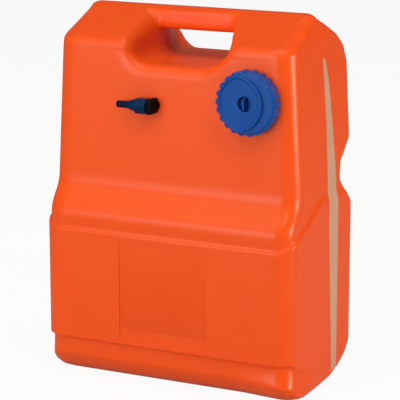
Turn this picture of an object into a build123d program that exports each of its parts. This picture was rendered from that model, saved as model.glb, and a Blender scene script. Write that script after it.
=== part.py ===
from build123d import *
import os
from math import cos, pi, sqrt

# Portable fuel tank: a tall blow-moulded can with a moulded handle bar, a toothed
# filler cap with a rotary vent, a hose outlet with its pick-up tube, and a level
# strip down one side. Millimetres, +Z up, front towards -Y, origin at the middle
# of the footprint.

# Tank body, overall
tank_width = 330.0
tank_depth = 206.0
tank_height = 452.0
wall = 4.0
corner_radius = 24.0

# Lower body
crease_height = 184.0        # crisp crease under the front shoulder
base_front_radius = 49.0
base_side_radius = 12.0
back_rise_start = 30.0       # where the bottom starts to rise towards the back, from mid-depth
back_rise_height = 26.6
back_rise_blend = 14.0
toe_height = 51.0            # crease above the front toe recess
toe_step = 4.5
toe_run = 123.0              # how far back its crease would reach the ground on the sides
toe_fade = 62.0              # how far back the recess has no depth left on the sides

# Upper body
front_step = 22.0            # upper front stands back from the lower front
crease_step = 2.0
side_step = 3.0
back_step = 3.5              # lower back stands in from the upper back
side_step_run = 92.0         # length of the slanting end of the side step
side_step_top = 232.0
shoulder_start = 194.0
shoulder_top = 252.0
top_taper = 9.0              # each side draws in by this much up to the front bend
front_bend_drop = 35.0       # start of the front slope, below the ridge
front_bend_blend = 12.0
back_bend_drop = 50.0        # start of the back slope, below the ridge
back_bend_blend = 16.0
ridge_half_depth = 8.0
ridge_taper = 6.0
ridge_end_radius = 8.0

# Handle bar and the scoops in front of it and behind it
bar_depth = 28.0
bar_height = 27.5            # from the ridge down to the bar's underside
bar_edge_radius = 7.0
hand_drop = 60.0             # from the ridge down to the hand hole's sill
hand_half_width = 52.0
scoop_half_width = 67.0      # where the scoop meets the upper front face
scoop_drop = 70.5            # its sill there, below the ridge
hand_corner_radius = 14.0
scoop_corner_radius = 20.0

# Strap channel across the back
channel_depth = 48.0
channel_top = 306.0
channel_floor_top = 268.0
channel_floor_bottom = 248.0
channel_bottom = 197.0
channel_fillet = 9.0

# Bare recessed panel on the lower front
panel_width = 117.0
panel_depth = 1.0
panel_margin = 8.0

# Level strip on the right side
strip_top_drop = 51.0        # its tip, below the ridge
strip_bottom = 12.0
strip_lean = 20.0            # the strip's front edge leans back by this much down to its foot
strip_front = 7.0
strip_width = 28.0
strip_foot_width = 16.0
strip_tip = 9.0

# Filler neck and cap
cap_inset = 60.5             # from the right side to the cap's middle
cap_drop = 94.0              # from the ridge down to the cap's middle
neck_radius = 29.0
neck_bore_radius = 25.0
neck_height = 11.4
gasket_thickness = 2.0
seal_plate_thickness = 1.2
cap_gap = 1.0
cap_depth = 16.0
cap_tip_radius = 38.5
cap_root_radius = 35.8
cap_teeth = 22
cap_skirt = 2.2
cap_face = 2.2
thread_clearance = 0.6
running_clearance = 0.08
rest_gap = 0.1               # between flat faces that turn on each other
cap_chamfer = 1.5
tooth_share = 0.92
tooth_flat = 0.6
pad_radius = 33.0            # raised thumb pad on the face of the cap
pad_shift = 10.5
pad_height = 5.0
pad_low_height = 1.2
pad_rim = 3.0
pad_dish_depth = 1.5

# Rotary vent in the middle of the cap
vent_pocket_radius = 8.8
vent_pocket_depth = 8.0
vent_floor = 2.0
vent_head_radius = 8.2
vent_head_thickness = 2.0
vent_seal_thickness = 1.2
vent_stem_radius = 3.0
vent_wing_height = 9.6
vent_wing_length = 14.0
vent_wing_thickness = 3.2
vent_port_radius = 1.0
vent_port_circle = 6.0
vent_washer_thickness = 1.2
vent_clip_thickness = 1.2
vent_stem_end = 1.0
clip_groove = 0.7

# Hose outlet in the front wall
outlet_x = -19.5
outlet_drop = 107.7          # from the ridge down to the hose axis
boss_radius = 11.5
boss_depth = 10.0
insert_radius = 7.5
insert_bore_radius = 4.5
elbow_width = 7.0
elbow_height = 18.0
elbow_block_depth = 17.5
elbow_end_radius = 2.5
collar_radius = 5.8
collar_thickness = 1.5
fitting_washer_thickness = 1.2
recess_clearance = 0.4
shank_overrun = 2.0
elbow_edge = 1.2
flow_radius = 2.0
outlet_reach = 11.0          # from the upper front face out to the hose axis
spigot_radius = 6.2
spigot_length = 8.0
tail_seal_thickness = 1.2
tail_flange_radius = 6.6
tail_flange_thickness = 2.5
tail_radius = 4.25
tail_neck_radius = 4.5      # the tail's plain stretch inside the nut
tail_bore_radius = 2.4
tail_length = 41.5           # from the block's face to the open end
tail_barbs = 3
barb_depth = 0.6
barb_pitch = 4.0
barb_groove = 1.2
nut_across_flats = 17.6
nut_hex_length = 14.7
nut_cone_length = 9.5
nut_cone_radius = 5.4
nut_bore_radius = 6.9
nut_gap = 0.8
nut_chamfer = 0.8

# Pick-up tube and strainer inside the tank
inner_spigot_radius = 2.7
inner_spigot_length = 14.0
dip_tube_radius = 4.5
dip_bore_radius = 2.8
dip_bend_radius = 28.0
dip_straight = 14.0
clip_thickness = 0.8
clip_width = 6.0
strainer_radius = 5.8
strainer_height = 26.0
strainer_gap = 0.3
screen_thickness = 0.3
strainer_wall = 1.0
strainer_windows = 4
window_width = 4.0

half_width = tank_width / 2
half_depth = tank_depth / 2
upper_front = -half_depth + front_step
lower_back = half_depth - back_step
upper_half_width = half_width - side_step
front_bend = tank_height - front_bend_drop
back_bend = tank_height - back_bend_drop
bar_underside = tank_height - bar_height
hand_sill = tank_height - hand_drop
scoop_sill = tank_height - scoop_drop
strip_top = tank_height - strip_top_drop
cap_x = half_width - cap_inset
cap_z = tank_height - cap_drop
outlet_z = tank_height - outlet_drop
fitting_recess = fitting_washer_thickness + collar_thickness


def blend(distance, reach):
    """Nothing below zero, the distance above it, with a parabola between."""
    if distance <= -reach:
        return 0.0
    if distance >= reach:
        return distance
    return (distance + reach) ** 2 / (4 * reach)


def round_in(height, radius):
    """How far a quarter round has drawn in, at a height above its flat side."""
    if height >= radius:
        return 0.0
    return radius - sqrt(radius**2 - (radius - height) ** 2)


def section(height, half_x, front, back, radius):
    """One level of the tank: a rectangle with rounded corners."""
    depth = back - front
    corner = min(radius, 0.49 * depth)
    with BuildSketch(Plane.XY.offset(height)) as level:
        with Locations((0, (front + back) / 2)):
            RectangleRounded(2 * half_x, depth, corner)
    return level.sketch


def lower_level(z, extra):
    """Outline of the lower body at height z, drawn in on every side by extra."""
    back_slope = (lower_back - back_rise_start) / back_rise_height
    side = half_width - round_in(z, base_side_radius)
    front = -half_depth + round_in(z, base_front_radius)
    back = lower_back - back_slope * blend(back_rise_height - z, back_rise_blend)
    return side - extra, front + extra, back - extra


def upper_level(z, extra):
    """Outline of the upper body at height z, drawn in on every side by extra."""
    front_slope = (-ridge_half_depth - upper_front) / (tank_height - 2 - front_bend)
    back_slope = (half_depth - ridge_half_depth) / (tank_height - 2 - back_bend)
    low_front = -half_depth + crease_step
    rise = (z - shoulder_start) / (shoulder_top - shoulder_start)
    ease = (1 - cos(pi * min(max(rise, 0.0), 1.0))) / 2
    front = low_front + (upper_front - low_front) * ease
    front += front_slope * blend(z - front_bend, front_bend_blend)
    back = half_depth - back_slope * blend(z - back_bend, back_bend_blend)
    taper = top_taper * min(max((z - shoulder_top) / (front_bend - shoulder_top), 0.0), 1.0)
    taper += ridge_taper * max((z - front_bend) / (tank_height - front_bend), 0.0)
    side = upper_half_width - taper - round_in(tank_height - z, ridge_end_radius)
    return side - extra, front + extra, back - extra


def lower_form(inset):
    """Lower body as one loft, up to the top of its side step."""
    rounds = [base_front_radius * (1 - cos(step * pi / 12)) for step in range(7)]
    levels = rounds + [back_rise_height + back_rise_blend, side_step_top]
    with BuildPart() as form:
        for z in sorted(levels):
            side, front, back = lower_level(z, inset)
            height = z + inset if z < crease_height else z
            add(section(height, side, front, back, corner_radius - inset))
        loft(ruled=True)
    return form.part


def upper_form(inset):
    """Upper body as one loft, from the crease to the ridge."""
    shoulder = [shoulder_start + (shoulder_top - shoulder_start) * step / 6 for step in range(7)]
    bends = [back_bend - back_bend_blend, back_bend, front_bend - front_bend_blend]
    bends += [back_bend + back_bend_blend, front_bend, front_bend + front_bend_blend]
    ridge = [tank_height - share * ridge_end_radius for share in (1.0, 0.6, 0.3, 0.1, 0.0)]
    with BuildPart() as form:
        for z in sorted([crease_height] + shoulder + bends + ridge):
            side, front, back = upper_level(z, inset)
            if back - front < 3:
                front, back = -1.5, 1.5
            height = z - inset if z > shoulder_top else z
            add(section(height, side, front, back, corner_radius - inset))
        loft(ruled=True)
    return form.part


def side_prism(points, radius):
    """A side view outline with rounded corners, run across the full width."""
    with BuildPart() as prism:
        with BuildSketch(Plane.YZ):
            with BuildLine():
                Polyline(*points, close=True)
            make_face()
            if radius:
                fillet(vertices(), radius)
        extrude(amount=tank_width, both=True)
    return prism.part


def toe_core(inset):
    """What stands inside the toe recess, which fades out along both sides."""
    front = -half_depth + toe_step + inset
    side = half_width - toe_step - inset
    with BuildPart() as core:
        with BuildSketch():
            with BuildLine():
                Polyline((-side, front), (side, front),
                         (side + 2 * toe_step, front + 2 * toe_fade),
                         (-side - 2 * toe_step, front + 2 * toe_fade), close=True)
            make_face()
            fillet(vertices().group_by(Axis.Y)[0], corner_radius - inset)
        extrude(amount=crease_height)
    return core.part


def tank_form(inset):
    """The whole outer form, or the inner one when it is drawn in by the wall."""
    front = -half_depth
    toe_zone = side_prism(
        [(front - 60, toe_height + inset), (front + corner_radius / 2, toe_height + inset),
         (front + toe_run + inset, -1), (front - 60, -1)], 0)
    slant = side_prism(
        [(front - 60, crease_height - inset), (front, crease_height - inset),
         (front + side_step_run + inset, side_step_top - inset),
         (2 * half_depth, side_step_top - inset), (2 * half_depth, tank_height),
         (front - 60, tank_height)], 0)
    with BuildPart() as form:
        add(lower_form(inset))
        add(slant, mode=Mode.SUBTRACT)
        add(toe_zone, mode=Mode.SUBTRACT)
        add(lower_form(inset) & toe_zone & toe_core(inset))
        add(upper_form(inset))
    return form.part


def handle_cut(grow):
    """Hand hole and its flared scoops, with the handle bar left standing in it."""
    half_bar = bar_depth / 2
    reach = (half_depth + half_bar) / (-upper_front - half_bar)
    flare = (scoop_half_width - hand_half_width) * reach
    drop = (hand_sill - scoop_sill) * reach
    top = tank_height + 3 * hand_corner_radius

    def opening(y, half_x, sill, radius):
        with BuildSketch(Plane.XZ.offset(-y)) as mouth:
            with Locations((0, (sill + top) / 2)):
                RectangleRounded(2 * half_x, top - sill, radius)
        return mouth.sketch

    with BuildPart() as scoop:
        add(opening(-half_bar, hand_half_width + grow, hand_sill - grow, hand_corner_radius))
        add(opening(-half_depth - 2 * half_bar, hand_half_width + flare + grow,
                    hand_sill - drop - grow, scoop_corner_radius))
        loft(ruled=True)
    with BuildPart() as bar:
        with BuildSketch(Plane.YZ):
            with BuildLine():
                low = bar_underside + grow
                side = half_bar - grow
                Polyline((-side, top), (-side, low), (side, low), (side, top), close=True)
            make_face()
            corners = vertices().group_by(Axis.Y)[0]
            fillet(corners, max(bar_edge_radius - grow, 1.5))
        extrude(amount=half_width, both=True)
    with BuildPart() as cut:
        add(scoop.part)
        with BuildSketch(Plane.XZ.offset(half_bar)):
            with Locations((0, (hand_sill - grow + top) / 2)):
                RectangleRounded(2 * (hand_half_width + grow), top - hand_sill + grow,
                                 hand_corner_radius)
        extrude(amount=-bar_depth)
        mirror(about=Plane.XZ)
        add(bar.part, mode=Mode.SUBTRACT)
    return cut.part


def channel_cut(grow):
    """Strap channel across the back."""
    floor = half_depth - channel_depth - grow
    outside = half_depth + channel_depth
    steep_top = (channel_top - channel_floor_top) / channel_depth
    steep_bottom = (channel_floor_bottom - channel_bottom) / channel_depth
    past = outside - half_depth
    return side_prism(
        [(floor, channel_floor_bottom - grow / 2), (floor, channel_floor_top + grow / 2),
         (outside, channel_top + steep_top * past + 1.5 * grow),
         (outside, channel_bottom - steep_bottom * past - 1.5 * grow)], channel_fillet)


# Filler cap frame: local +Z runs out of the tank along -Y
cap_plane = Plane(origin=(cap_x, upper_front, cap_z), x_dir=(1, 0, 0), z_dir=(0, -1, 0))
cap_profile_plane = Plane(origin=(cap_x, upper_front, cap_z), x_dir=(1, 0, 0), z_dir=(0, 0, -1))
cap_axis = Axis((cap_x, upper_front, cap_z), (0, -1, 0))

# Outlet frames: one along the fitting's hole in the wall, one along the hose
fitting_plane = Plane(origin=(outlet_x, upper_front, outlet_z), x_dir=(1, 0, 0), z_dir=(0, -1, 0))
hose_y = upper_front - outlet_reach
block_face = outlet_x - elbow_width / 2
hose_plane = Plane(origin=(block_face, hose_y, outlet_z), x_dir=(0, 1, 0), z_dir=(-1, 0, 0))


def ring(plane, start, end, outer, inner):
    """A plain ring between two distances along a plane's own axis."""
    with BuildPart() as hoop:
        with BuildSketch(plane.offset(start)):
            Circle(outer)
            Circle(inner, mode=Mode.SUBTRACT)
        extrude(amount=end - start)
    return hoop.part


# Tank wall, with its neck and the boss for the outlet, then shell and level strip
outer = tank_form(0)
inner = tank_form(wall)

with BuildPart() as inner_space:
    add(inner)
    add(handle_cut(wall), mode=Mode.SUBTRACT)
    add(channel_cut(wall), mode=Mode.SUBTRACT)

with BuildPart() as tank_wall:
    add(outer)
    add(handle_cut(0), mode=Mode.SUBTRACT)
    add(channel_cut(0), mode=Mode.SUBTRACT)
    panel_low = toe_height + panel_margin
    with BuildSketch(Plane.XZ.offset(half_depth)):
        with Locations((0, (panel_low + crease_height) / 2)):
            Rectangle(panel_width, crease_height - panel_low)
    extrude(amount=-panel_depth, mode=Mode.SUBTRACT)
    add(inner_space.part, mode=Mode.SUBTRACT)
    with BuildSketch(fitting_plane.offset(-wall - boss_depth)):
        Circle(boss_radius)
    extrude(amount=boss_depth + wall / 2)
    with BuildSketch(cap_plane.offset(-wall / 2)):
        Circle(neck_radius)
    extrude(amount=neck_height + wall / 2)
    with BuildSketch(cap_plane.offset(neck_height)):
        Circle(neck_bore_radius)
    extrude(amount=-neck_height - 2 * wall, mode=Mode.SUBTRACT)
    with BuildSketch(fitting_plane):
        Circle(collar_radius + recess_clearance)
    extrude(amount=-fitting_recess, mode=Mode.SUBTRACT)
    with BuildSketch(fitting_plane.offset(-fitting_recess)):
        Circle(insert_radius)
    extrude(amount=-wall - boss_depth, mode=Mode.SUBTRACT)

with BuildPart() as strip_zone:
    with BuildSketch(Plane.YZ.offset(half_width - 2 * corner_radius / 3)):
        foot = strip_front + strip_lean
        middle = (strip_top + strip_bottom) / 2
        with BuildLine():
            Polyline((strip_front + strip_tip, strip_top), (strip_front, strip_top),
                     (strip_front + strip_lean / 4, middle), (foot, strip_bottom),
                     (foot + strip_foot_width, strip_bottom))
            ThreePointArc((foot + strip_foot_width, strip_bottom),
                          (strip_front + strip_lean / 4 + strip_width, middle),
                          (strip_front + strip_tip, strip_top))
        make_face()
    extrude(amount=corner_radius)

with BuildPart() as level_strip:
    add(tank_wall.part)
    add(strip_zone.part, mode=Mode.INTERSECT)

with BuildPart() as tank_shell:
    add(tank_wall.part)
    add(strip_zone.part, mode=Mode.SUBTRACT)

# Filler cap: double skirt, face, sunk vent pocket, teeth and the thumb pad
cap_front = cap_gap + cap_depth
face_back = cap_front - cap_face
pocket_bottom = cap_front - vent_pocket_depth
floor_back = pocket_bottom - vent_floor
thread_radius = neck_radius + thread_clearance
stem_hole_radius = vent_stem_radius + running_clearance
cup_radius = vent_pocket_radius + cap_skirt


def slope_height(x):
    """Height of the thumb pad's slanting top at a distance across the cap."""
    left = -cap_root_radius
    right = pad_radius - pad_shift
    share = (x - left) / (right - left)
    return cap_front + pad_low_height + (pad_height - pad_low_height) * share


def under_slope(drop):
    """Everything under the thumb pad's slanting top, lowered by drop."""
    far = 2 * cap_tip_radius
    with BuildPart() as under:
        with BuildSketch(cap_profile_plane):
            with BuildLine():
                Polyline((-far, 0), (-far, slope_height(-far) - drop),
                         (far, slope_height(far) - drop), (far, 0), close=True)
            make_face()
        extrude(amount=far, both=True)
    return under.part


def pad_prism(rim):
    """The thumb pad's outline, drawn in by rim, run out from the cap's face."""
    with BuildPart() as prism:
        with BuildSketch(cap_plane.offset(face_back)):
            with Locations((-pad_shift, 0)):
                Circle(pad_radius - rim)
            Circle(cap_root_radius - cap_chamfer - rim, mode=Mode.INTERSECT)
        extrude(amount=3 * pad_height)
    return prism.part


with BuildPart() as thumb_pad:
    add(pad_prism(0))
    add(under_slope(0), mode=Mode.INTERSECT)

with BuildPart() as pad_dish:
    add(pad_prism(pad_rim))
    add(under_slope(pad_dish_depth), mode=Mode.SUBTRACT)

with BuildPart() as cap_shell:
    with BuildSketch(cap_profile_plane):
        with BuildLine():
            Polyline((cap_root_radius, cap_gap), (cap_root_radius, cap_front - cap_chamfer),
                     (cap_root_radius - cap_chamfer, cap_front), (stem_hole_radius, cap_front),
                     (stem_hole_radius, floor_back), (cup_radius, floor_back),
                     (cup_radius, face_back), (thread_radius, face_back),
                     (thread_radius, cap_gap + 1), (thread_radius + cap_skirt, cap_gap + 1),
                     (thread_radius + cap_skirt, face_back),
                     (cap_root_radius - cap_skirt, face_back),
                     (cap_root_radius - cap_skirt, cap_gap), close=True)
        make_face()
    revolve(axis=cap_axis)
    with BuildSketch(cap_plane.offset(cap_gap)):
        with PolarLocations(cap_root_radius - 1, cap_teeth):
            half_tooth = tooth_share * pi * cap_root_radius / cap_teeth
            tip = cap_tip_radius - cap_root_radius + 1
            Polygon((0, -half_tooth), (1, -half_tooth), (tip, -tooth_flat), (tip, tooth_flat),
                    (1, half_tooth), (0, half_tooth), align=None)
    extrude(amount=cap_depth - cap_chamfer)
    add(thumb_pad.part)
    add(pad_dish.part, mode=Mode.SUBTRACT)
    with BuildSketch(cap_plane.offset(pocket_bottom)):
        Circle(vent_pocket_radius)
    extrude(amount=2 * cap_depth, mode=Mode.SUBTRACT)
    with BuildSketch(cap_plane.offset(pocket_bottom)):
        with PolarLocations(vent_port_circle, 2):
            Circle(vent_port_radius)
    extrude(amount=-vent_floor, mode=Mode.SUBTRACT)

gasket_top = neck_height + gasket_thickness
cap_gasket = ring(cap_plane, neck_height, gasket_top,
                  neck_radius - rest_gap, neck_bore_radius + rest_gap)
seal_plate = ring(cap_plane, gasket_top, gasket_top + seal_plate_thickness,
                  thread_radius - 0.4, cup_radius + 0.4)

# Rotary vent: seal on the pocket's floor, turning head with its wing, washer and clip
seal_top = pocket_bottom + vent_seal_thickness
head_bottom = seal_top + rest_gap
head_top = head_bottom + vent_head_thickness
washer_top = floor_back - rest_gap
washer_bottom = washer_top - vent_washer_thickness
clip_bottom = washer_bottom - vent_clip_thickness

with BuildPart() as vent_seal:
    with BuildSketch(cap_plane.offset(pocket_bottom)):
        Circle(vent_head_radius)
        Circle(stem_hole_radius, mode=Mode.SUBTRACT)
        with PolarLocations(vent_port_circle, 2):
            Circle(vent_port_radius, mode=Mode.SUBTRACT)
    extrude(amount=vent_seal_thickness)

with BuildPart() as vent_knob:
    with BuildSketch(cap_plane.offset(head_bottom)):
        Circle(vent_head_radius)
        with PolarLocations(vent_port_circle, 2, start_angle=90):
            Circle(vent_port_radius, mode=Mode.SUBTRACT)
    extrude(amount=vent_head_thickness)
    with BuildSketch(cap_plane.offset(head_top)):
        SlotOverall(vent_wing_length, vent_wing_thickness, rotation=90)
    extrude(amount=vent_wing_height, taper=3)
    with BuildSketch(cap_plane.offset(head_bottom)):
        Circle(vent_stem_radius)
    extrude(amount=washer_bottom - head_bottom)
    with BuildSketch(cap_plane.offset(washer_bottom)):
        Circle(vent_stem_radius - clip_groove)
    extrude(amount=-vent_clip_thickness)
    with BuildSketch(cap_plane.offset(clip_bottom)):
        Circle(vent_stem_radius)
    extrude(amount=-vent_stem_end)

vent_washer = ring(cap_plane, washer_bottom, washer_top,
                   2 * vent_stem_radius, vent_stem_radius + running_clearance)
with BuildPart() as vent_clip:
    with BuildSketch(cap_plane.offset(clip_bottom)):
        Circle(1.7 * vent_stem_radius)
        Circle(vent_stem_radius - clip_groove, mode=Mode.SUBTRACT)
        with Locations((2 * vent_stem_radius, 0)):
            Rectangle(4 * vent_stem_radius, 1.1 * vent_stem_radius, mode=Mode.SUBTRACT)
    extrude(amount=vent_clip_thickness)

# Hose outlet: brass insert in the wall, washer, elbow with its spigots
boss_back = -wall - boss_depth
wall_insert = ring(fitting_plane, boss_back, -fitting_recess, insert_radius, insert_bore_radius)
fitting_washer = ring(fitting_plane, -fitting_recess, -collar_thickness,
                      collar_radius, insert_bore_radius)
shank_end = boss_back - shank_overrun
spigot_end = shank_end - inner_spigot_length

with BuildPart() as elbow_body:
    with BuildSketch(fitting_plane.offset(rest_gap)):
        Rectangle(elbow_width, elbow_height)
        fillet(vertices().group_by(Axis.X)[-1], elbow_end_radius)
        fillet(vertices().group_by(Axis.X)[0], elbow_edge)
    extrude(amount=elbow_block_depth)
    fillet(faces().sort_by(Axis.Y)[0].edges(), elbow_edge * 0.8)
    with BuildSketch(fitting_plane.offset(-collar_thickness)):
        Circle(collar_radius)
    extrude(amount=collar_thickness + rest_gap)
    with BuildSketch(fitting_plane.offset(-collar_thickness)):
        Circle(insert_bore_radius - running_clearance)
    extrude(amount=shank_end + collar_thickness)
    with BuildSketch(fitting_plane.offset(shank_end)):
        Circle(inner_spigot_radius)
    extrude(amount=-inner_spigot_length)
    with BuildSketch(hose_plane.offset(-elbow_width / 2)):
        Circle(spigot_radius)
    extrude(amount=elbow_width / 2 + spigot_length)
    with BuildSketch(fitting_plane.offset(spigot_end)):
        Circle(flow_radius)
    extrude(amount=outlet_reach - spigot_end, mode=Mode.SUBTRACT)
    with BuildSketch(hose_plane.offset(-elbow_width / 2)):
        Circle(flow_radius)
    extrude(amount=elbow_width / 2 + spigot_length, mode=Mode.SUBTRACT)

# Union nut and hose tail, along the hose axis
flange_start = spigot_length + tail_seal_thickness
flange_end = flange_start + tail_flange_thickness
nut_wall_start = flange_end + 3 * rest_gap
hex_end = nut_gap + nut_hex_length
cone_end = hex_end + nut_cone_length
tail_hole_radius = tail_neck_radius + running_clearance
tail_neck_end = cone_end + 3 * rest_gap
tail_seal = ring(hose_plane, spigot_length, flange_start, spigot_radius - 0.2, flow_radius + 0.4)

with BuildPart() as hose_tail:
    with BuildSketch(hose_plane.offset(flange_start)):
        Circle(tail_flange_radius)
    extrude(amount=tail_flange_thickness)
    with BuildSketch(hose_plane.offset(flange_end)):
        Circle(tail_neck_radius)
    extrude(amount=tail_neck_end - flange_end)
    with BuildSketch(hose_plane.offset(tail_neck_end)):
        Circle(tail_radius)
    extrude(amount=tail_length - tail_neck_end)
    chamfer(faces().sort_by(Axis.X)[0].edges(), tail_radius / 6)
    for barb in range(tail_barbs):
        with BuildSketch(hose_plane.offset(tail_length - barb_pitch * (barb + 0.6))):
            Circle(tail_radius)
            Circle(tail_radius - barb_depth, mode=Mode.SUBTRACT)
        extrude(amount=-barb_groove, mode=Mode.SUBTRACT)
    with BuildSketch(hose_plane.offset(flange_start)):
        Circle(tail_bore_radius)
    extrude(amount=tail_length - flange_start, mode=Mode.SUBTRACT)

with BuildPart() as union_nut:
    with BuildSketch(hose_plane.offset(nut_gap)):
        RegularPolygon(nut_across_flats / 2, 6, major_radius=False)
    extrude(amount=nut_hex_length)
    chamfer(faces().sort_by(Axis.X)[-1].edges(), nut_chamfer)
    with BuildSketch(hose_plane.offset(hex_end)):
        Circle(nut_across_flats / 2 - nut_chamfer)
    with BuildSketch(hose_plane.offset(cone_end)):
        Circle(nut_cone_radius)
    loft()
    with BuildSketch(hose_plane.offset(nut_gap)):
        Circle(nut_bore_radius)
    extrude(amount=nut_wall_start - nut_gap, mode=Mode.SUBTRACT)
    with BuildSketch(hose_plane.offset(nut_gap)):
        Circle(tail_hole_radius)
    extrude(amount=cone_end - nut_gap, mode=Mode.SUBTRACT)

# Pick-up tube from the elbow down to the strainer on the bottom
tube_start = upper_front - shank_end + 2
bend_start = tube_start + dip_straight
drop_y = bend_start + dip_bend_radius
strainer_bottom = wall + strainer_gap
strainer_top = strainer_bottom + strainer_height
socket_depth = strainer_height / 3
dip_end = strainer_top - socket_depth

with BuildPart() as dip_tube:
    with BuildLine(Plane.YZ.offset(outlet_x)) as route:
        Line((tube_start, outlet_z), (bend_start, outlet_z))
        JernArc((bend_start, outlet_z), (1, 0), dip_bend_radius, -90)
        Line((drop_y, outlet_z - dip_bend_radius), (drop_y, dip_end))
    with BuildSketch(Plane(origin=(outlet_x, tube_start, outlet_z), z_dir=(0, 1, 0))):
        Circle(dip_tube_radius)
        Circle(dip_bore_radius, mode=Mode.SUBTRACT)
    sweep(path=route.wires()[0])

with BuildPart() as tube_clip:
    with BuildSketch(fitting_plane.offset(shank_end - clip_width)):
        Circle(dip_tube_radius + clip_thickness)
        with Locations((0, dip_tube_radius + clip_thickness)):
            Rectangle(3 * clip_thickness, 4 * clip_thickness)
        Circle(dip_tube_radius, mode=Mode.SUBTRACT)
    extrude(amount=-clip_width)

strainer_plane = Plane.XY.offset(strainer_bottom)
strainer_centre = (outlet_x, drop_y)
cage_bore = strainer_radius - strainer_wall

with BuildPart() as strainer_cage:
    with BuildSketch(strainer_plane):
        with Locations(strainer_centre):
            Circle(strainer_radius)
    extrude(amount=strainer_height)
    with BuildSketch(strainer_plane.offset(strainer_wall)):
        with Locations(strainer_centre):
            Circle(cage_bore)
    extrude(amount=strainer_height - socket_depth - strainer_wall, mode=Mode.SUBTRACT)
    with BuildSketch(strainer_plane.offset(strainer_height)):
        with Locations(strainer_centre):
            Circle(dip_tube_radius)
    extrude(amount=-socket_depth, mode=Mode.SUBTRACT)
    window_height = strainer_height - socket_depth - 2 * strainer_wall
    with BuildSketch(strainer_plane.offset(strainer_wall)):
        with Locations(strainer_centre):
            with PolarLocations(strainer_radius, strainer_windows):
                Rectangle(3 * strainer_wall, window_width)
    extrude(amount=window_height, mode=Mode.SUBTRACT)

screen_plane = Plane(origin=(*strainer_centre, strainer_bottom + strainer_wall))
strainer_screen = ring(screen_plane, 0, strainer_height - socket_depth - strainer_wall,
                       cage_bore, cage_bore - screen_thickness)

# Every piece under its own name
pieces = {
    "tank_shell": tank_shell.part,
    "level_strip": level_strip.part,
    "wall_insert": wall_insert,
    "fitting_washer": fitting_washer,
    "elbow_body": elbow_body.part,
    "dip_tube": dip_tube.part,
    "tube_clip": tube_clip.part,
    "strainer_cage": strainer_cage.part,
    "strainer_screen": strainer_screen,
    "cap_shell": cap_shell.part,
    "cap_gasket": cap_gasket,
    "seal_plate": seal_plate,
    "vent_seal": vent_seal.part,
    "vent_knob": vent_knob.part,
    "vent_washer": vent_washer,
    "vent_clip": vent_clip.part,
    "union_nut": union_nut.part,
    "hose_tail": hose_tail.part,
    "tail_seal": tail_seal,
}

os.makedirs("parts", exist_ok=True)
for name, piece in pieces.items():
    piece.label = name
    export_step(piece, f"parts/{name}.step")
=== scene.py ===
from math import cos, pi, radians, sin

import bpy
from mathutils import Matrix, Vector


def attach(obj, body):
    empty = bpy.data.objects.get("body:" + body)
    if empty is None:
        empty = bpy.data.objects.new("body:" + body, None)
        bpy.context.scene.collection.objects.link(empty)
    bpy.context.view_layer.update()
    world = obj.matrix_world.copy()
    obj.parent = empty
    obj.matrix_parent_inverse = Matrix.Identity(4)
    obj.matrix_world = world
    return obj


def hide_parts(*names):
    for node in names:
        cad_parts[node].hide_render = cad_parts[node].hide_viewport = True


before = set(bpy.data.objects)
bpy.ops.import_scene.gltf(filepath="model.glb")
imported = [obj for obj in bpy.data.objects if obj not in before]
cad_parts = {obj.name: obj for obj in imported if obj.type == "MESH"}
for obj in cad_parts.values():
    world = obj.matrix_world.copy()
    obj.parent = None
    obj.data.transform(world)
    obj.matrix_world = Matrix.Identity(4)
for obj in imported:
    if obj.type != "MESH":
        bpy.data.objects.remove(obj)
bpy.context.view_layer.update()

MM = 0.001

# The tank's side profile in millimetres: its faces, the two slopes of its top, and its front shoulder
UPPER_FACE = -81
BACK_FACE = 103
FRONT_SLOPE_START = 417
FRONT_SLOPE_RUN = 73
FRONT_SLOPE_RISE = 33
FRONT_BEND = 12
FRONT_BEND_MOULDED = 4      # how far the bend reaches to each side in the moulded skin
BACK_SLOPE_START = 402
BACK_SLOPE_RUN = 95
BACK_SLOPE_RISE = 48
BACK_BEND = 16
SHOULDER_FOOT = 194
SHOULDER_RISE = 58
SHOULDER_REACH = 20

# Where the front stands, and where the filler cap and the outlet sit on it
FRONT_Y = -103 * MM
UPPER_FRONT_Y = UPPER_FACE * MM
CAP_X = 104.5 * MM
CAP_Z = 358 * MM
OUTLET_X = -19.5 * MM
OUTLET_Z = 344.3 * MM
NECK_BORE = 25 * MM
NECK_HEIGHT = 11.4 * MM

# The hand's way through, in millimetres
BAR_HALF_DEPTH = 14
BAR_UNDERSIDE = 424.5
SILL = 392
FRONT_ROLL_HALF_WIDTH = 69  # how far from the middle the left flank's roll meets the front slope
RIGHT_LEAN = 0.5            # how far the right flank leans out for each millimetre up
RIGHT_LEAN_TOP = 425
ABOVE_THE_TOP = 480

# The moulding's grain for the voxel remesh, and the wall panel
SKIN_GRAIN = 1.8 * MM
PANEL_HALF_WIDTH = 58.5 * MM
PANEL_BOTTOM = 60 * MM
PANEL_TOP = 180 * MM
PANEL_DEPTH = 0.9 * MM
PANEL_MARGIN = 4 * MM

# The level strip's outline on the right side, seen from that side
STRIP_TOP = 400 * MM
STRIP_BOTTOM = 12 * MM
STRIP_FRONT = 12 * MM
STRIP_LEAN = 13 * MM
STRIP_WIDTH = 28 * MM
STRIP_FOOT_WIDTH = 16 * MM
STRIP_TIP = 9 * MM


def linear(colour):
    """An sRGB hex colour as linear red, green, blue and alpha."""
    parts = [int(colour[place:place + 2], 16) / 255 for place in (1, 3, 5)]
    straight = [part / 12.92 if part <= 0.04045 else ((part + 0.055) / 1.055) ** 2.4 for part in parts]
    return (*straight, 1.0)


def pick(*objects):
    """Selects these objects and nothing else, and makes the first one active."""
    bpy.ops.object.select_all(action="DESELECT")
    for chosen in objects:
        chosen.select_set(True)
    bpy.context.view_layer.objects.active = objects[0]


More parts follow.
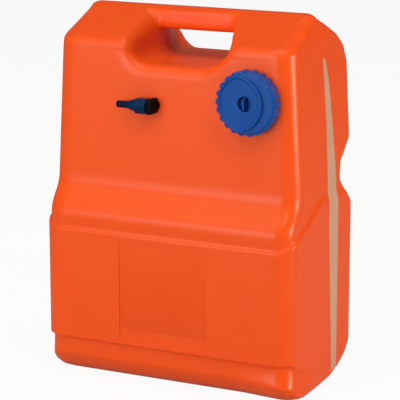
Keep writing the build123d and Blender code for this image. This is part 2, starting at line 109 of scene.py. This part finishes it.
def apply_modifier(piece, kind, **settings):
    """Puts one modifier on a piece and applies it."""
    pick(piece)
    modifier = piece.modifiers.new(kind.title(), kind)
    for name, value in settings.items():
        setattr(modifier, name, value)
    bpy.ops.object.modifier_apply(modifier=modifier.name)


def copy_of(name, *nodes):
    """One new piece with merged copies of the solids of these nodes."""
    copies = []
    for node in nodes:
        copy = bpy.data.objects.new(name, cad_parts[node].data.copy())
        bpy.context.scene.collection.objects.link(copy)
        copies.append(copy)
    pick(*copies)
    if len(copies) > 1:
        bpy.ops.object.join()
    piece = copies[0]
    bpy.ops.object.mode_set(mode="EDIT")
    bpy.ops.mesh.select_all(action="SELECT")
    bpy.ops.mesh.remove_doubles(threshold=0.01 * MM)
    bpy.ops.object.mode_set(mode="OBJECT")
    piece.data.materials.clear()
    return piece


def as_moulded(piece, grain, passes):
    """Turns a sharp-edged piece into one even skin with the soft edges that a mould leaves."""
    sharp = bpy.data.objects.new("sharp_form", piece.data.copy())
    bpy.context.scene.collection.objects.link(sharp)
    apply_modifier(piece, "REMESH", mode="VOXEL", voxel_size=grain)
    apply_modifier(piece, "SHRINKWRAP", target=sharp, wrap_method="NEAREST_SURFACEPOINT")
    apply_modifier(piece, "SMOOTH", factor=0.5, iterations=passes)
    bpy.data.objects.remove(sharp)


def cut(piece, cutter, operation="DIFFERENCE"):
    """Cuts a piece with a closed cutter."""
    apply_modifier(piece, "BOOLEAN", object=cutter, operation=operation, solver="MANIFOLD")


def settle(piece, body, slot, material, *replaced, sharp_angle=40):
    """Shades a finished piece, dresses it and fastens it to its body."""
    pick(piece)
    bpy.ops.object.transform_apply(location=True, rotation=True, scale=True)
    bpy.ops.object.shade_smooth_by_angle(angle=radians(sharp_angle))
    piece.data.materials.clear()
    piece.data.materials.append(material)
    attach(piece, body)
    if replaced:
        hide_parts(*replaced)


# Materials
def new_material(name):
    """A material with one Principled shader, and the tree to build in."""
    made = bpy.data.materials.new(name)
    made.use_nodes = True
    tree = made.node_tree
    return made, tree, tree.nodes["Principled BSDF"]


def add_node(tree, kind, inputs, **settings):
    """Adds a node with its settings. An input is a plain value or another node's output."""
    made = tree.nodes.new(kind)
    for name, value in settings.items():
        setattr(made, name, value)
    for key, value in inputs.items():
        if isinstance(value, bpy.types.NodeSocket):
            tree.links.new(value, made.inputs[key])
        else:
            made.inputs[key].default_value = value
    return made


def skin_bump(tree, shader, place, patterns):
    """Raises a surface by stacked noise patterns, each of a size and a height in millimetres."""
    normal = None
    for size, height in patterns:
        grain = add_node(tree, "ShaderNodeTexNoise",
                         {"Vector": place, "Scale": 1 / (size * MM), "Detail": 2.0})
        inputs = {"Height": grain.outputs[0], "Distance": height * MM, "Strength": 1.0}
        if normal is not None:
            inputs["Normal"] = normal
        normal = add_node(tree, "ShaderNodeBump", inputs).outputs[0]
    tree.links.new(normal, shader.inputs["Normal"])


def moulded_plastic(name, colour, shade, roughness, shine, patterns, patch=60, scatter=0.0):
    """Moulded plastic: one colour with a faint shift to a second shade over broad patches."""
    made, tree, shader = new_material(name)
    place = add_node(tree, "ShaderNodeTexCoord", {}).outputs["Object"]
    cloud = add_node(tree, "ShaderNodeTexNoise",
                     {"Vector": place, "Scale": 1 / (patch * MM), "Detail": 3.0})
    mix = add_node(tree, "ShaderNodeMix", {0: cloud.outputs[0], 6: linear(colour), 7: linear(shade)},
                   data_type="RGBA")
    tree.links.new(mix.outputs[2], shader.inputs["Base Color"])
    shader.inputs["Roughness"].default_value = roughness
    shader.inputs["IOR"].default_value = 1.5
    shader.inputs["Specular IOR Level"].default_value = shine
    if scatter:
        shader.inputs["Subsurface Weight"].default_value = scatter
        shader.inputs["Subsurface Radius"].default_value = (1.0, 0.35, 0.15)
        shader.inputs["Subsurface Scale"].default_value = 4 * MM
    skin_bump(tree, shader, place, patterns)
    return made


def metal(name, colour, roughness, grit):
    """Bare metal with fine marks of its making."""
    made, tree, shader = new_material(name)
    place = add_node(tree, "ShaderNodeTexCoord", {}).outputs["Object"]
    shader.inputs["Base Color"].default_value = linear(colour)
    shader.inputs["Metallic"].default_value = 1.0
    shader.inputs["Roughness"].default_value = roughness
    skin_bump(tree, shader, place, [(grit, 0.02)])
    return made


# Blow-moulded polyethylene: semi-gloss, faintly pebbled by the blasted mould and never quite flat
hdpe_orange = moulded_plastic("blow_moulded_hdpe_orange", "#f1561a", "#ee5218", 0.3, 0.25,
                              [(38, 0.35), (2.6, 0.03)], scatter=0.12)
# The same polyethylene without its pigment: milky, with a painted pinkish tint that stands in for the
# orange light shining through it from the tank behind
hdpe_natural = moulded_plastic("unpigmented_hdpe", "#cfa598", "#ca9f92", 0.4, 0.3,
                               [(38, 0.35), (2.6, 0.03)], scatter=0.4)
# Injection-moulded polypropylene: saturated blue, smooth, with soft gloss on its edges
pp_blue = moulded_plastic("moulded_polypropylene_blue", "#0a4da6", "#08469d", 0.3, 0.16,
                          [(1.5, 0.015)], patch=18)
pp_dark_blue = moulded_plastic("moulded_polypropylene_dark_blue", "#022c58", "#02274e", 0.32, 0.06,
                               [(1.5, 0.015)], patch=12)
# Glass-filled nylon: near black, satin
nylon_black = moulded_plastic("glass_filled_nylon_black", "#060505", "#040404", 0.5, 0.07,
                              [(0.9, 0.02)], patch=10)
nylon_blue_black = moulded_plastic("moulded_nylon_blue_black", "#061b3e", "#051634", 0.42, 0.08,
                                   [(0.9, 0.02)], patch=10)
nbr_rubber = moulded_plastic("nitrile_rubber", "#1b1b1b", "#151515", 0.62, 0.3,
                              [(1.2, 0.03)], patch=10)
acetal_natural = moulded_plastic("natural_acetal", "#deded8", "#d6d6cf", 0.45, 0.5,
                                 [(1.2, 0.01)], patch=12)
brass_turned = metal("turned_brass", "#d9b36c", 0.28, 0.4)
steel_spring = metal("spring_steel", "#b5b6ba", 0.3, 0.3)


# Blow-moulded body and its level strip, as one skin that is then parted
def front_cylinder(name, x, z, radius, start, end, vertices=128):
    """A closed cylinder that runs out along -Y, between two distances from the upper front face."""
    bpy.ops.object.select_all(action="DESELECT")
    bpy.ops.mesh.primitive_cylinder_add(
        vertices=vertices, radius=radius, depth=end - start,
        location=(x, UPPER_FRONT_Y - (start + end) / 2, z), rotation=(pi / 2, 0, 0))
    made = bpy.context.object
    made.name = name
    return made


def closed_mesh(name, points, faces):
    """A new object from points and faces, with its normals outward."""
    mesh = bpy.data.meshes.new(name)
    mesh.from_pydata(points, [], faces)
    made = bpy.data.objects.new(name, mesh)
    bpy.context.scene.collection.objects.link(made)
    pick(made)
    bpy.ops.object.mode_set(mode="EDIT")
    bpy.ops.mesh.select_all(action="SELECT")
    bpy.ops.mesh.normals_make_consistent(inside=False)
    bpy.ops.object.mode_set(mode="OBJECT")
    return made


def lofted(name, rings):
    """A closed solid through rings of points, each with the same count."""
    count = len(rings[0])
    faces = [list(range(count))]
    for level in range(len(rings) - 1):
        low, high = level * count, (level + 1) * count
        for place in range(count):
            after = (place + 1) % count
            faces.append([low + place, low + after, high + after, high + place])
    last = (len(rings) - 1) * count
    faces.append(list(range(last, last + count)))
    return closed_mesh(name, [point for ring in rings for point in ring], faces)


def side_prism(name, outline, start, end):
    """A closed prism along X with an outline seen from the side, its points as (y, z)."""
    return lofted(name, [[(x, y, z) for y, z in outline] for x in (start, end)])


def bend(distance, reach):
    """Nothing below zero, the distance above it, with a parabola between."""
    if abs(distance) < reach:
        return (distance + reach) ** 2 / (4 * reach)
    return max(distance, 0)


def front_setback(z, reach):
    """How far the front slope has run back at a height, with a bend that reaches so far each way."""
    return FRONT_SLOPE_RUN / FRONT_SLOPE_RISE * bend(z - FRONT_SLOPE_START, reach)


def back_setback(z):
    """How far the back slope has run forward at a height."""
    return BACK_SLOPE_RUN / BACK_SLOPE_RISE * bend(z - BACK_SLOPE_START, BACK_BEND)


def gable_outline():
    """The tank's top as the side sees it, over the handle: front slope, ridge and back slope."""
    levels = [372, 386, 402, 405, 417, 418, 429, 444, 447.2, 449.6, 451.2, 452]
    front = [(UPPER_FACE + front_setback(z, FRONT_BEND), z) for z in levels]
    back = [(BACK_FACE - back_setback(z), z) for z in levels]
    return [(y * MM, z * MM) for y, z in front + back[::-1]]


def handle_opening():
    """The hand's way through under the bar: a straight middle, and mouths that open in a wide round."""
    # Distance back, left and right side, sill, and the corners' radius on the left and right
    sections = [
        (-125, 68, 84, 379, 28, 30),
        (UPPER_FACE, 68, 84, 379, 28, 30),
        (-79.5, 61.5, 83, 385.5, 24, 29),
        (-77, 58, 82, 388.5, 22, 28),
        (-73, 55.6, 81, 390.6, 20, 28),
        (-68, 54.4, 79, 391.4, 19, 27),
        (-43, 53, 67, 391.8, 17, 22),
        (-BAR_HALF_DEPTH, 51, 53, SILL, 16, 14),
        (BAR_HALF_DEPTH, 51, 53, SILL, 16, 14),
        (24, 53.5, 54.5, SILL, 16, 14),
        (36, 58, 56.5, 391.7, 17, 15),
        (60, 67, 61, 391, 20, 18),
        (88, 73, 65, 388, 25, 20),
        (97, 74, 68, 385, 27, 22),
        (BACK_FACE, 78, 73, 379, 29, 26),
        (130, 78, 73, 379, 29, 26),
    ]
    # The roll at the left flank's top: its width still left, its depth, and its least height over the arc
    roll_points = [(0.42, 4, 1.5), (0.1, 11, 1), (0, 17, 0.5)]
    arc_steps = 8
    back_flank_top = 460
    rings = []
    for y, left, right, sill, left_radius, right_radius in sections:
        # The left flank rolls out to the front slope, and the right one leans out towards its top
        if y < 0:
            slope = FRONT_SLOPE_START + FRONT_SLOPE_RISE / FRONT_SLOPE_RUN * max(y - UPPER_FACE, 0)
            roll = FRONT_ROLL_HALF_WIDTH - left
        else:
            slope = back_flank_top
            roll = 0
        lean = RIGHT_LEAN * ramp(y, -50, -BAR_HALF_DEPTH)
        arc_top = sill + left_radius
        ring = [(-left - roll, ABOVE_THE_TOP), (-left - roll, slope + 1)]
        for share, depth, least in roll_points:
            ring.append((-left - share * roll, max(slope - depth, arc_top + least)))
        for step in range(arc_steps + 1):
            angle = pi + step * pi / (2 * arc_steps)
            ring.append((-left + left_radius * (1 + cos(angle)), sill + left_radius * (1 + sin(angle))))
        for step in range(arc_steps + 1):
            angle = 1.5 * pi + step * pi / (2 * arc_steps)
            z = sill + right_radius * (1 + sin(angle))
            leaned = lean * max(RIGHT_LEAN_TOP - z, 0)
            ring.append((right - right_radius * (1 - cos(angle)) - leaned, z))
        ring.append((right, ABOVE_THE_TOP))
        rings.append([(x * MM, y * MM, z * MM) for x, z in ring])
    opening = lofted("handle_opening", rings)
    # The bar's underside: how far in from its face and how far up from its lowest line
    edge = [(0, 7.5), (1, 4), (3.5, 1.2), (7.5, 0)]
    half = BAR_HALF_DEPTH
    above = ABOVE_THE_TOP + 10
    front = [(-half, above)] + [(-half + inward, BAR_UNDERSIDE + up) for inward, up in edge]
    back = [(half - inward, BAR_UNDERSIDE + up) for inward, up in edge[::-1]] + [(half, above)]
    bar_half_length = 100 * MM
    bar = side_prism("handle_bar", [(y * MM, z * MM) for y, z in front + back],
                     -bar_half_length, bar_half_length)
    cut(opening, bar)
    bpy.data.objects.remove(bar)
    return opening


def soften(piece, share, passes):
    """Smooths a piece where a share, worked out from each point's place, says so."""
    group = piece.vertex_groups.new(name="soft")
    for point in piece.data.vertices:
        weight = share(point.co / MM)
        if weight > 0:
            group.add([point.index], weight, "REPLACE")
    apply_modifier(piece, "SMOOTH", factor=0.5, iterations=passes, vertex_group="soft")
    piece.vertex_groups.clear()


def ramp(value, full, none):
    """One up to full, zero from none on, and an even slope between."""
    return min(max((none - value) / (none - full), 0), 1)


def swell(value, middle, reach):
    """One in the middle, zero from its reach on, and a soft wave between."""
    share = min(abs(value - middle) / reach, 1)
    return (1 + cos(pi * share)) / 2


def mouth_share(point):
    """How much a point belongs to the soft rims of the handle's two mouths."""
    x, y, z = point
    lowest, lower_edge = 350, 384
    half_width, front_middle = 68, 4
    if z < lowest:
        return 0
    if y < 0:
        depth = y - (UPPER_FACE + front_setback(z, FRONT_BEND))
        aside = abs(x - front_middle) - half_width
    else:
        depth = BACK_FACE - back_setback(z) - y
        aside = abs(x) - half_width
    below = lower_edge - z
    clear_of_corner = aside < 0 or below < 0
    outside = max(aside, below) if clear_of_corner else (aside**2 + below**2) ** 0.5
    clear_of_bar = ramp(-abs(y), -30, -19)
    return ramp(outside, 9, 26) * ramp(depth, 24, 42) * clear_of_bar


def step_share(point):
    """How much a point belongs to the side step's stretch behind the level strip's edge."""
    x, y, z = point
    right_wall_from, step_height = 120, 232
    if x < right_wall_from:
        return 0
    return ramp(abs(z - step_height), 14, 30) * ramp(-y, -8, 12) * ramp(y, 74, 92)


def bar_end_share(point):
    """How much a point belongs to the hollow corners where the bar's front runs into the flanks."""
    x, y, z = point
    bar_end, bar_front, bar_middle = 51, -19, 438
    across = ramp(abs(abs(x) - bar_end), 5, 15)
    return across * ramp(abs(y - bar_front), 8, 20) * ramp(abs(z - bar_middle), 12, 18)


def shoulder_share(point):
    """How much a point belongs to the front shoulder above its crease, or to the bend at the slope."""
    x, y, z = point
    front_part_to, shoulder_middle = -45, 228
    if y > front_part_to:
        return 0
    height = max(ramp(abs(z - shoulder_middle), 30, 36), ramp(abs(z - FRONT_SLOPE_START), 8, 16))
    return height * ramp(abs(x), 140, 158)


def stepped(line, levels, z):
    """A line as the solid has it, straight between its levels."""
    for low, high in zip(levels, levels[1:]):
        if low <= z <= high:
            share = (z - low) / (high - low)
            return line(low) * (1 - share) + line(high) * share
    return line(z)


def shoulder_line(z):
    """The front shoulder's forward reach over the upper face, which eases in and out."""
    share = min(max((z - SHOULDER_FOOT) / SHOULDER_RISE, 0), 1)
    return SHOULDER_REACH * (1 + cos(pi * share)) / 2


def solid_slope(z):
    """The front slope's set-back as the solid has it."""
    levels = [405, 417, 418, 429]
    line = stepped(lambda level: bend(level - FRONT_SLOPE_START, FRONT_BEND), levels, z)
    return FRONT_SLOPE_RUN / FRONT_SLOPE_RISE * line


def solid_shoulder(z):
    """The shoulder's reach as the solid has it."""
    steps = 6
    levels = [SHOULDER_FOOT + SHOULDER_RISE * step / steps for step in range(steps + 1)]
    return stepped(shoulder_line, levels, z)


def fill_out(piece):
    """Gives the back slope its crown, the shoulder its full lower half and the foot its full corners."""
    crown_from, crown_height, crown_rise = 398, 52, 4.2
    crown_back, crown_up = 0.466, 0.885      # the back slope's own direction outward
    back_part_from, front_part_to = 6, -40
    profile_from, profile_to = 190, 432
    shoulder_forward, forward_middle, forward_reach = 3.2, 215, 27
    shoulder_up, up_middle, up_reach = 3.4, 186, 44
    foot_height, foot_fade, foot_middle = 51, 30, 14
    foot_right, foot_forward, foot_left = 2.5, 7, 1.3
    for point in piece.data.vertices:
        x, y, z = point.co / MM
        if z > crown_from and y > back_part_from:
            rise = crown_rise * sin(pi * min(max((z - crown_from) / crown_height, 0), 1))
            point.co.y += crown_back * rise * MM
            point.co.z += crown_up * rise * MM
        if y < front_part_to:
            front = UPPER_FACE - solid_shoulder(z) + solid_slope(z)
            true_front = UPPER_FACE - shoulder_line(z) + front_setback(z, FRONT_BEND_MOULDED)
            if profile_from < z < profile_to:
                point.co.y += (true_front - front) * ramp(abs(y - front), 20, 30) * MM
            forward = swell(z, forward_middle, forward_reach)
            up = swell(z, up_middle, up_reach)
            point.co.y -= shoulder_forward * forward * ramp(y, -76, -60) * MM
            point.co.z += shoulder_up * up * ramp(y, -76, -50) * MM
        if z < foot_height:
            low = min((foot_height - z) / foot_fade, 1)
            right = low * ramp(-x, -150, -90) * ramp(y, -30, 20)
            point.co.x += foot_right * right * MM
            point.co.y -= foot_forward * right * ramp(abs(z - foot_middle), 10, 34) * MM
            point.co.x -= foot_left * low * ramp(x, -145, -120) * MM


def tank_skin():
    """The tank's outer form in one closed skin, with soft moulded edges and its handle cut through."""
    skin = copy_of("tank_body", "tank_shell", "level_strip")
    # The plugs close what the solid has open, and the cutters open it again
    panel_front = -101.5 * MM
    panel_low, panel_high, panel_side = 58.5 * MM, 184 * MM, 59 * MM
    panel_outline = [(FRONT_Y, panel_low), (panel_front, panel_low), (panel_front, panel_high),
                     (FRONT_Y, panel_high)]
    plugs = [
        front_cylinder("neck_plug", CAP_X, CAP_Z, NECK_BORE + 1 * MM, -6 * MM, NECK_HEIGHT),
        front_cylinder("outlet_plug", OUTLET_X, OUTLET_Z, 8 * MM, -18 * MM, -1.6 * MM),
        side_prism("handle_plug", gable_outline(), -90 * MM, 95 * MM),
        side_prism("panel_plug", panel_outline, -panel_side, panel_side),
    ]
    pick(skin, *plugs)
    bpy.ops.object.join()
    as_moulded(skin, SKIN_GRAIN, 0)
    opening = handle_opening()
    cut(skin, opening)
    bpy.data.objects.remove(opening)
    as_moulded(skin, SKIN_GRAIN, 2)
    soften(skin, mouth_share, 24)
    soften(skin, bar_end_share, 50)
    soften(skin, step_share, 60)
    fill_out(skin)
    soften(skin, shoulder_share, 40)
    triangles_kept = 0.42
    apply_modifier(skin, "DECIMATE", ratio=triangles_kept)
    return skin


def tank_cavity():
    """The space inside the tank, kept a wall's thickness away from its skin."""
    low_half, top_half = 158 * MM, 147 * MM
    corner = 22 * MM
    taper_start, top = 252 * MM, 372 * MM
    outline = [(-76, 12), (-91, 34), (-93, 54), (-96, 60), (-96, 180), (-76, 254), (-76, 372), (94, 368),
               (94, 307), (50, 272), (50, 244), (92, 198), (92, 62), (57, 25), (28, 10)]
    cavity = side_prism("cavity", [(y * MM, z * MM) for y, z in outline], -low_half, low_half)
    pick(cavity)
    for edge in cavity.data.edges:
        ends = [cavity.data.vertices[index].co.x for index in edge.vertices]
        edge.select = ends[0] * ends[1] > 0
    bpy.ops.object.mode_set(mode="EDIT")
    bpy.ops.mesh.bevel(offset=corner, segments=4)
    bpy.ops.mesh.select_all(action="SELECT")
    bpy.ops.mesh.bisect(plane_co=(0, 0, taper_start), plane_no=(0, 0, 1))
    bpy.ops.object.mode_set(mode="OBJECT")
    for point in cavity.data.vertices:
        share = max(0, (point.co.z - taper_start) / (top - taper_start))
        point.co.x *= 1 + (top_half / low_half - 1) * share
    return cavity


def panel_cutter():
    """The bare panel's shallow recess in the lower front, with crisp edges."""
    front = FRONT_Y - PANEL_MARGIN
    back = FRONT_Y + PANEL_DEPTH
    outline = [(front, PANEL_BOTTOM), (back, PANEL_BOTTOM), (back, PANEL_TOP), (front, PANEL_TOP)]
    return side_prism("panel_cutter", outline, -PANEL_HALF_WIDTH, PANEL_HALF_WIDTH)


skin = tank_skin()
cutters = [tank_cavity(), panel_cutter(),
           front_cylinder("bore_cutter", CAP_X, CAP_Z, NECK_BORE, -12 * MM, 2 * NECK_HEIGHT)]
for cutter in cutters:
    cut(skin, cutter)
    bpy.data.objects.remove(cutter)


def strip_cutter():
    """A prism through the right side wall with the level strip's outline."""
    foot = STRIP_FRONT + STRIP_LEAN
    middle = (STRIP_TOP + STRIP_BOTTOM) / 2
    front = [(STRIP_FRONT + 3 * MM, 0.8 * STRIP_TOP), (STRIP_FRONT, middle), (foot, STRIP_BOTTOM)]
    chord_middle = (foot + STRIP_FOOT_WIDTH + STRIP_FRONT + STRIP_TIP) / 2
    bow = STRIP_FRONT + STRIP_WIDTH - chord_middle
    steps = 16
    back = []
    for step in range(steps):
        share = step / steps
        chord = (foot + STRIP_FOOT_WIDTH) * (1 - share) + (STRIP_FRONT + STRIP_TIP) * share
        bulge = bow + 12 * MM * (share - 0.5)
        height = STRIP_BOTTOM + (STRIP_TOP - STRIP_BOTTOM) * share
        back.append((chord + bulge * 4 * share * (1 - share), height))
    tip = [(STRIP_FRONT + STRIP_TIP, STRIP_TOP - 9 * MM),
           (STRIP_FRONT + 0.6 * STRIP_TIP, STRIP_TOP - 3 * MM),
           (STRIP_FRONT, STRIP_TOP)]
    inner, outer = 148 * MM, 168 * MM
    return side_prism("strip_cutter", front + back + tip, inner, outer)


prism = strip_cutter()
strip = bpy.data.objects.new("level_window", skin.data.copy())
bpy.context.scene.collection.objects.link(strip)
cut(strip, prism, "INTERSECT")
cut(skin, prism)
bpy.data.objects.remove(prism)
settle(skin, "tank", "tank_plastic", hdpe_orange, "tank_shell")
settle(strip, "tank", "strip_plastic", hdpe_natural, "level_strip")

# Cap, vent, nut, tail and elbow: the CAD forms with the small rounds of a mould
moulded_pieces = [
    ("filler_cap", "cap_shell", "cap", "cap_plastic", pp_blue, 0.6, 4),
    ("vent_wing", "vent_knob", "vent", "vent_plastic", pp_blue, 0.35, 3),
    ("outlet_nut", "union_nut", "nut", "nut_plastic", pp_dark_blue, 0.3, 3),
    ("hose_stub", "hose_tail", "tail", "tail_plastic", nylon_blue_black, 0.25, 2),
    ("outlet_elbow", "elbow_body", "tank", "elbow_plastic", nylon_black, 0.35, 3),
]
for name, node, body, slot, material, grain, passes in moulded_pieces:
    piece = copy_of(name, node)
    as_moulded(piece, grain * MM, passes)
    settle(piece, body, slot, material, node, sharp_angle=60)

# Pieces that keep their solids and get their finish
node_finishes = {
    "wall_insert": brass_turned,
    "fitting_washer": nbr_rubber,
    "dip_tube": nbr_rubber,
    "tube_clip": steel_spring,
    "strainer_cage": acetal_natural,
    "strainer_screen": steel_spring,
    "cap_gasket": nbr_rubber,
    "seal_plate": acetal_natural,
    "vent_seal": nbr_rubber,
    "vent_washer": steel_spring,
    "vent_clip": steel_spring,
    "tail_seal": nbr_rubber,
}
for node, material in node_finishes.items():
    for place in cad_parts[node].material_slots:
        place.material = material

# Floor, light and camera
CAMERA_PLACE = (1.02086, -2.05068, 0.74748)
CAMERA_TURN = 26.493     # degrees round to the right of the front
CAMERA_PITCH = 13.087    # degrees down
CAMERA_LENS = 173.0
SENSOR = 36.0
FLOOR_SIZE = 14
LIGHT_AIM = 0.22         # the height that every lamp faces
ROOM_GLOW = 0.1          # the world's strength as light, where the camera sees it at 1
FLOOR_GLOW_SEEN = 0.93   # how white the floor is to the camera
FLOOR_GLOW_MIRRORED = 0.08


def studio_floor():
    """Pale paint, nearly white for the camera and dim in reflections, that still takes the shadow."""
    made, tree, shader = new_material("studio_floor_paint")
    path = add_node(tree, "ShaderNodeLightPath", {})
    paint = add_node(tree, "ShaderNodeMix", {0: path.outputs["Is Camera Ray"], 6: linear("#c4c4c4"),
                                             7: linear("#f8f8f8")}, data_type="RGBA")
    tree.links.new(paint.outputs[2], shader.inputs["Base Color"])
    shader.inputs["Roughness"].default_value = 0.9
    shader.inputs["Specular IOR Level"].default_value = 0.1
    to_camera, to_gloss = path.outputs["Is Camera Ray"], path.outputs["Is Glossy Ray"]
    camera_share = add_node(tree, "ShaderNodeMath", {0: to_camera, 1: FLOOR_GLOW_SEEN},
                            operation="MULTIPLY")
    glossy_share = add_node(tree, "ShaderNodeMath", {0: to_gloss, 1: FLOOR_GLOW_MIRRORED},
                            operation="MULTIPLY")
    share = add_node(tree, "ShaderNodeMath", {0: camera_share.outputs[0], 1: glossy_share.outputs[0]},
                     operation="MAXIMUM")
    white = add_node(tree, "ShaderNodeEmission", {"Color": (1, 1, 1, 1), "Strength": 1.0})
    mix = add_node(tree, "ShaderNodeMixShader",
                   {0: share.outputs[0], 1: shader.outputs[0], 2: white.outputs[0]})
    tree.links.new(mix.outputs[0], tree.nodes["Material Output"].inputs["Surface"])
    return made


bpy.ops.object.select_all(action="DESELECT")
bpy.ops.mesh.primitive_plane_add(size=FLOOR_SIZE, location=(0, 0, 0))
floor = bpy.context.object
floor.name = "floor"
floor.data.materials.append(studio_floor())

world = bpy.data.worlds.new("studio")
bpy.context.scene.world = world
world.use_nodes = True
sky = world.node_tree
path = add_node(sky, "ShaderNodeLightPath", {})
seen = add_node(sky, "ShaderNodeMath",
                {0: path.outputs["Is Camera Ray"], 1: path.outputs["Is Transmission Ray"]},
                operation="MAXIMUM")
room = sky.nodes["Background"]
room.inputs["Color"].default_value = (1, 1, 1, 1)
strength = add_node(sky, "ShaderNodeMapRange",
                    {"Value": seen.outputs[0], "To Min": ROOM_GLOW, "To Max": 1.0})
sky.links.new(strength.outputs[0], room.inputs["Strength"])


def soft_light(name, turn, rise, distance, width, height, power, colour=(1, 1, 1)):
    """A studio softbox that faces the tank's middle, placed by its bearing and height angle."""
    middle = Vector((0, 0, LIGHT_AIM))
    turn, rise = radians(turn), radians(rise)
    way = Vector((sin(turn) * cos(rise), -cos(turn) * cos(rise), sin(rise)))
    data = bpy.data.lights.new(name, "AREA")
    data.shape = "RECTANGLE"
    data.size = width
    data.size_y = height
    data.energy = power
    data.color = colour
    lamp = bpy.data.objects.new(name, data)
    bpy.context.scene.collection.objects.link(lamp)
    lamp.location = middle + way * distance
    lamp.rotation_euler = way.to_track_quat("Z", "Y").to_euler()


# Bearing in degrees round to the right of the front, degrees up, distance, width, height and power
WARM = (1, 0.9, 0.55)
soft_light("key_softbox", 50, 46, 2.6, 0.24, 0.24, 9, WARM)
soft_light("upper_softbox", -18, 45, 2.8, 2.1, 1.7, 24, WARM)
soft_light("front_softbox", -12, 6, 3.2, 2.2, 1.8, 58, (1, 0.97, 0.92))
soft_light("right_softbox", 98, 1.5, 3.0, 0.8, 0.8, 60, (1, 0.87, 0.6))
soft_light("top_softbox", 10, 80, 2.4, 1.6, 1.6, 19)

camera_data = bpy.data.cameras.new("photo_camera")
camera_data.sensor_width = SENSOR
camera_data.sensor_fit = "HORIZONTAL"
camera_data.lens = CAMERA_LENS
camera = bpy.data.objects.new("photo_camera", camera_data)
bpy.context.scene.collection.objects.link(camera)
camera.location = CAMERA_PLACE
camera.rotation_euler = (radians(90 - CAMERA_PITCH), 0, radians(CAMERA_TURN))
bpy.context.scene.camera = camera
bpy.context.scene.view_settings.view_transform = "Standard"
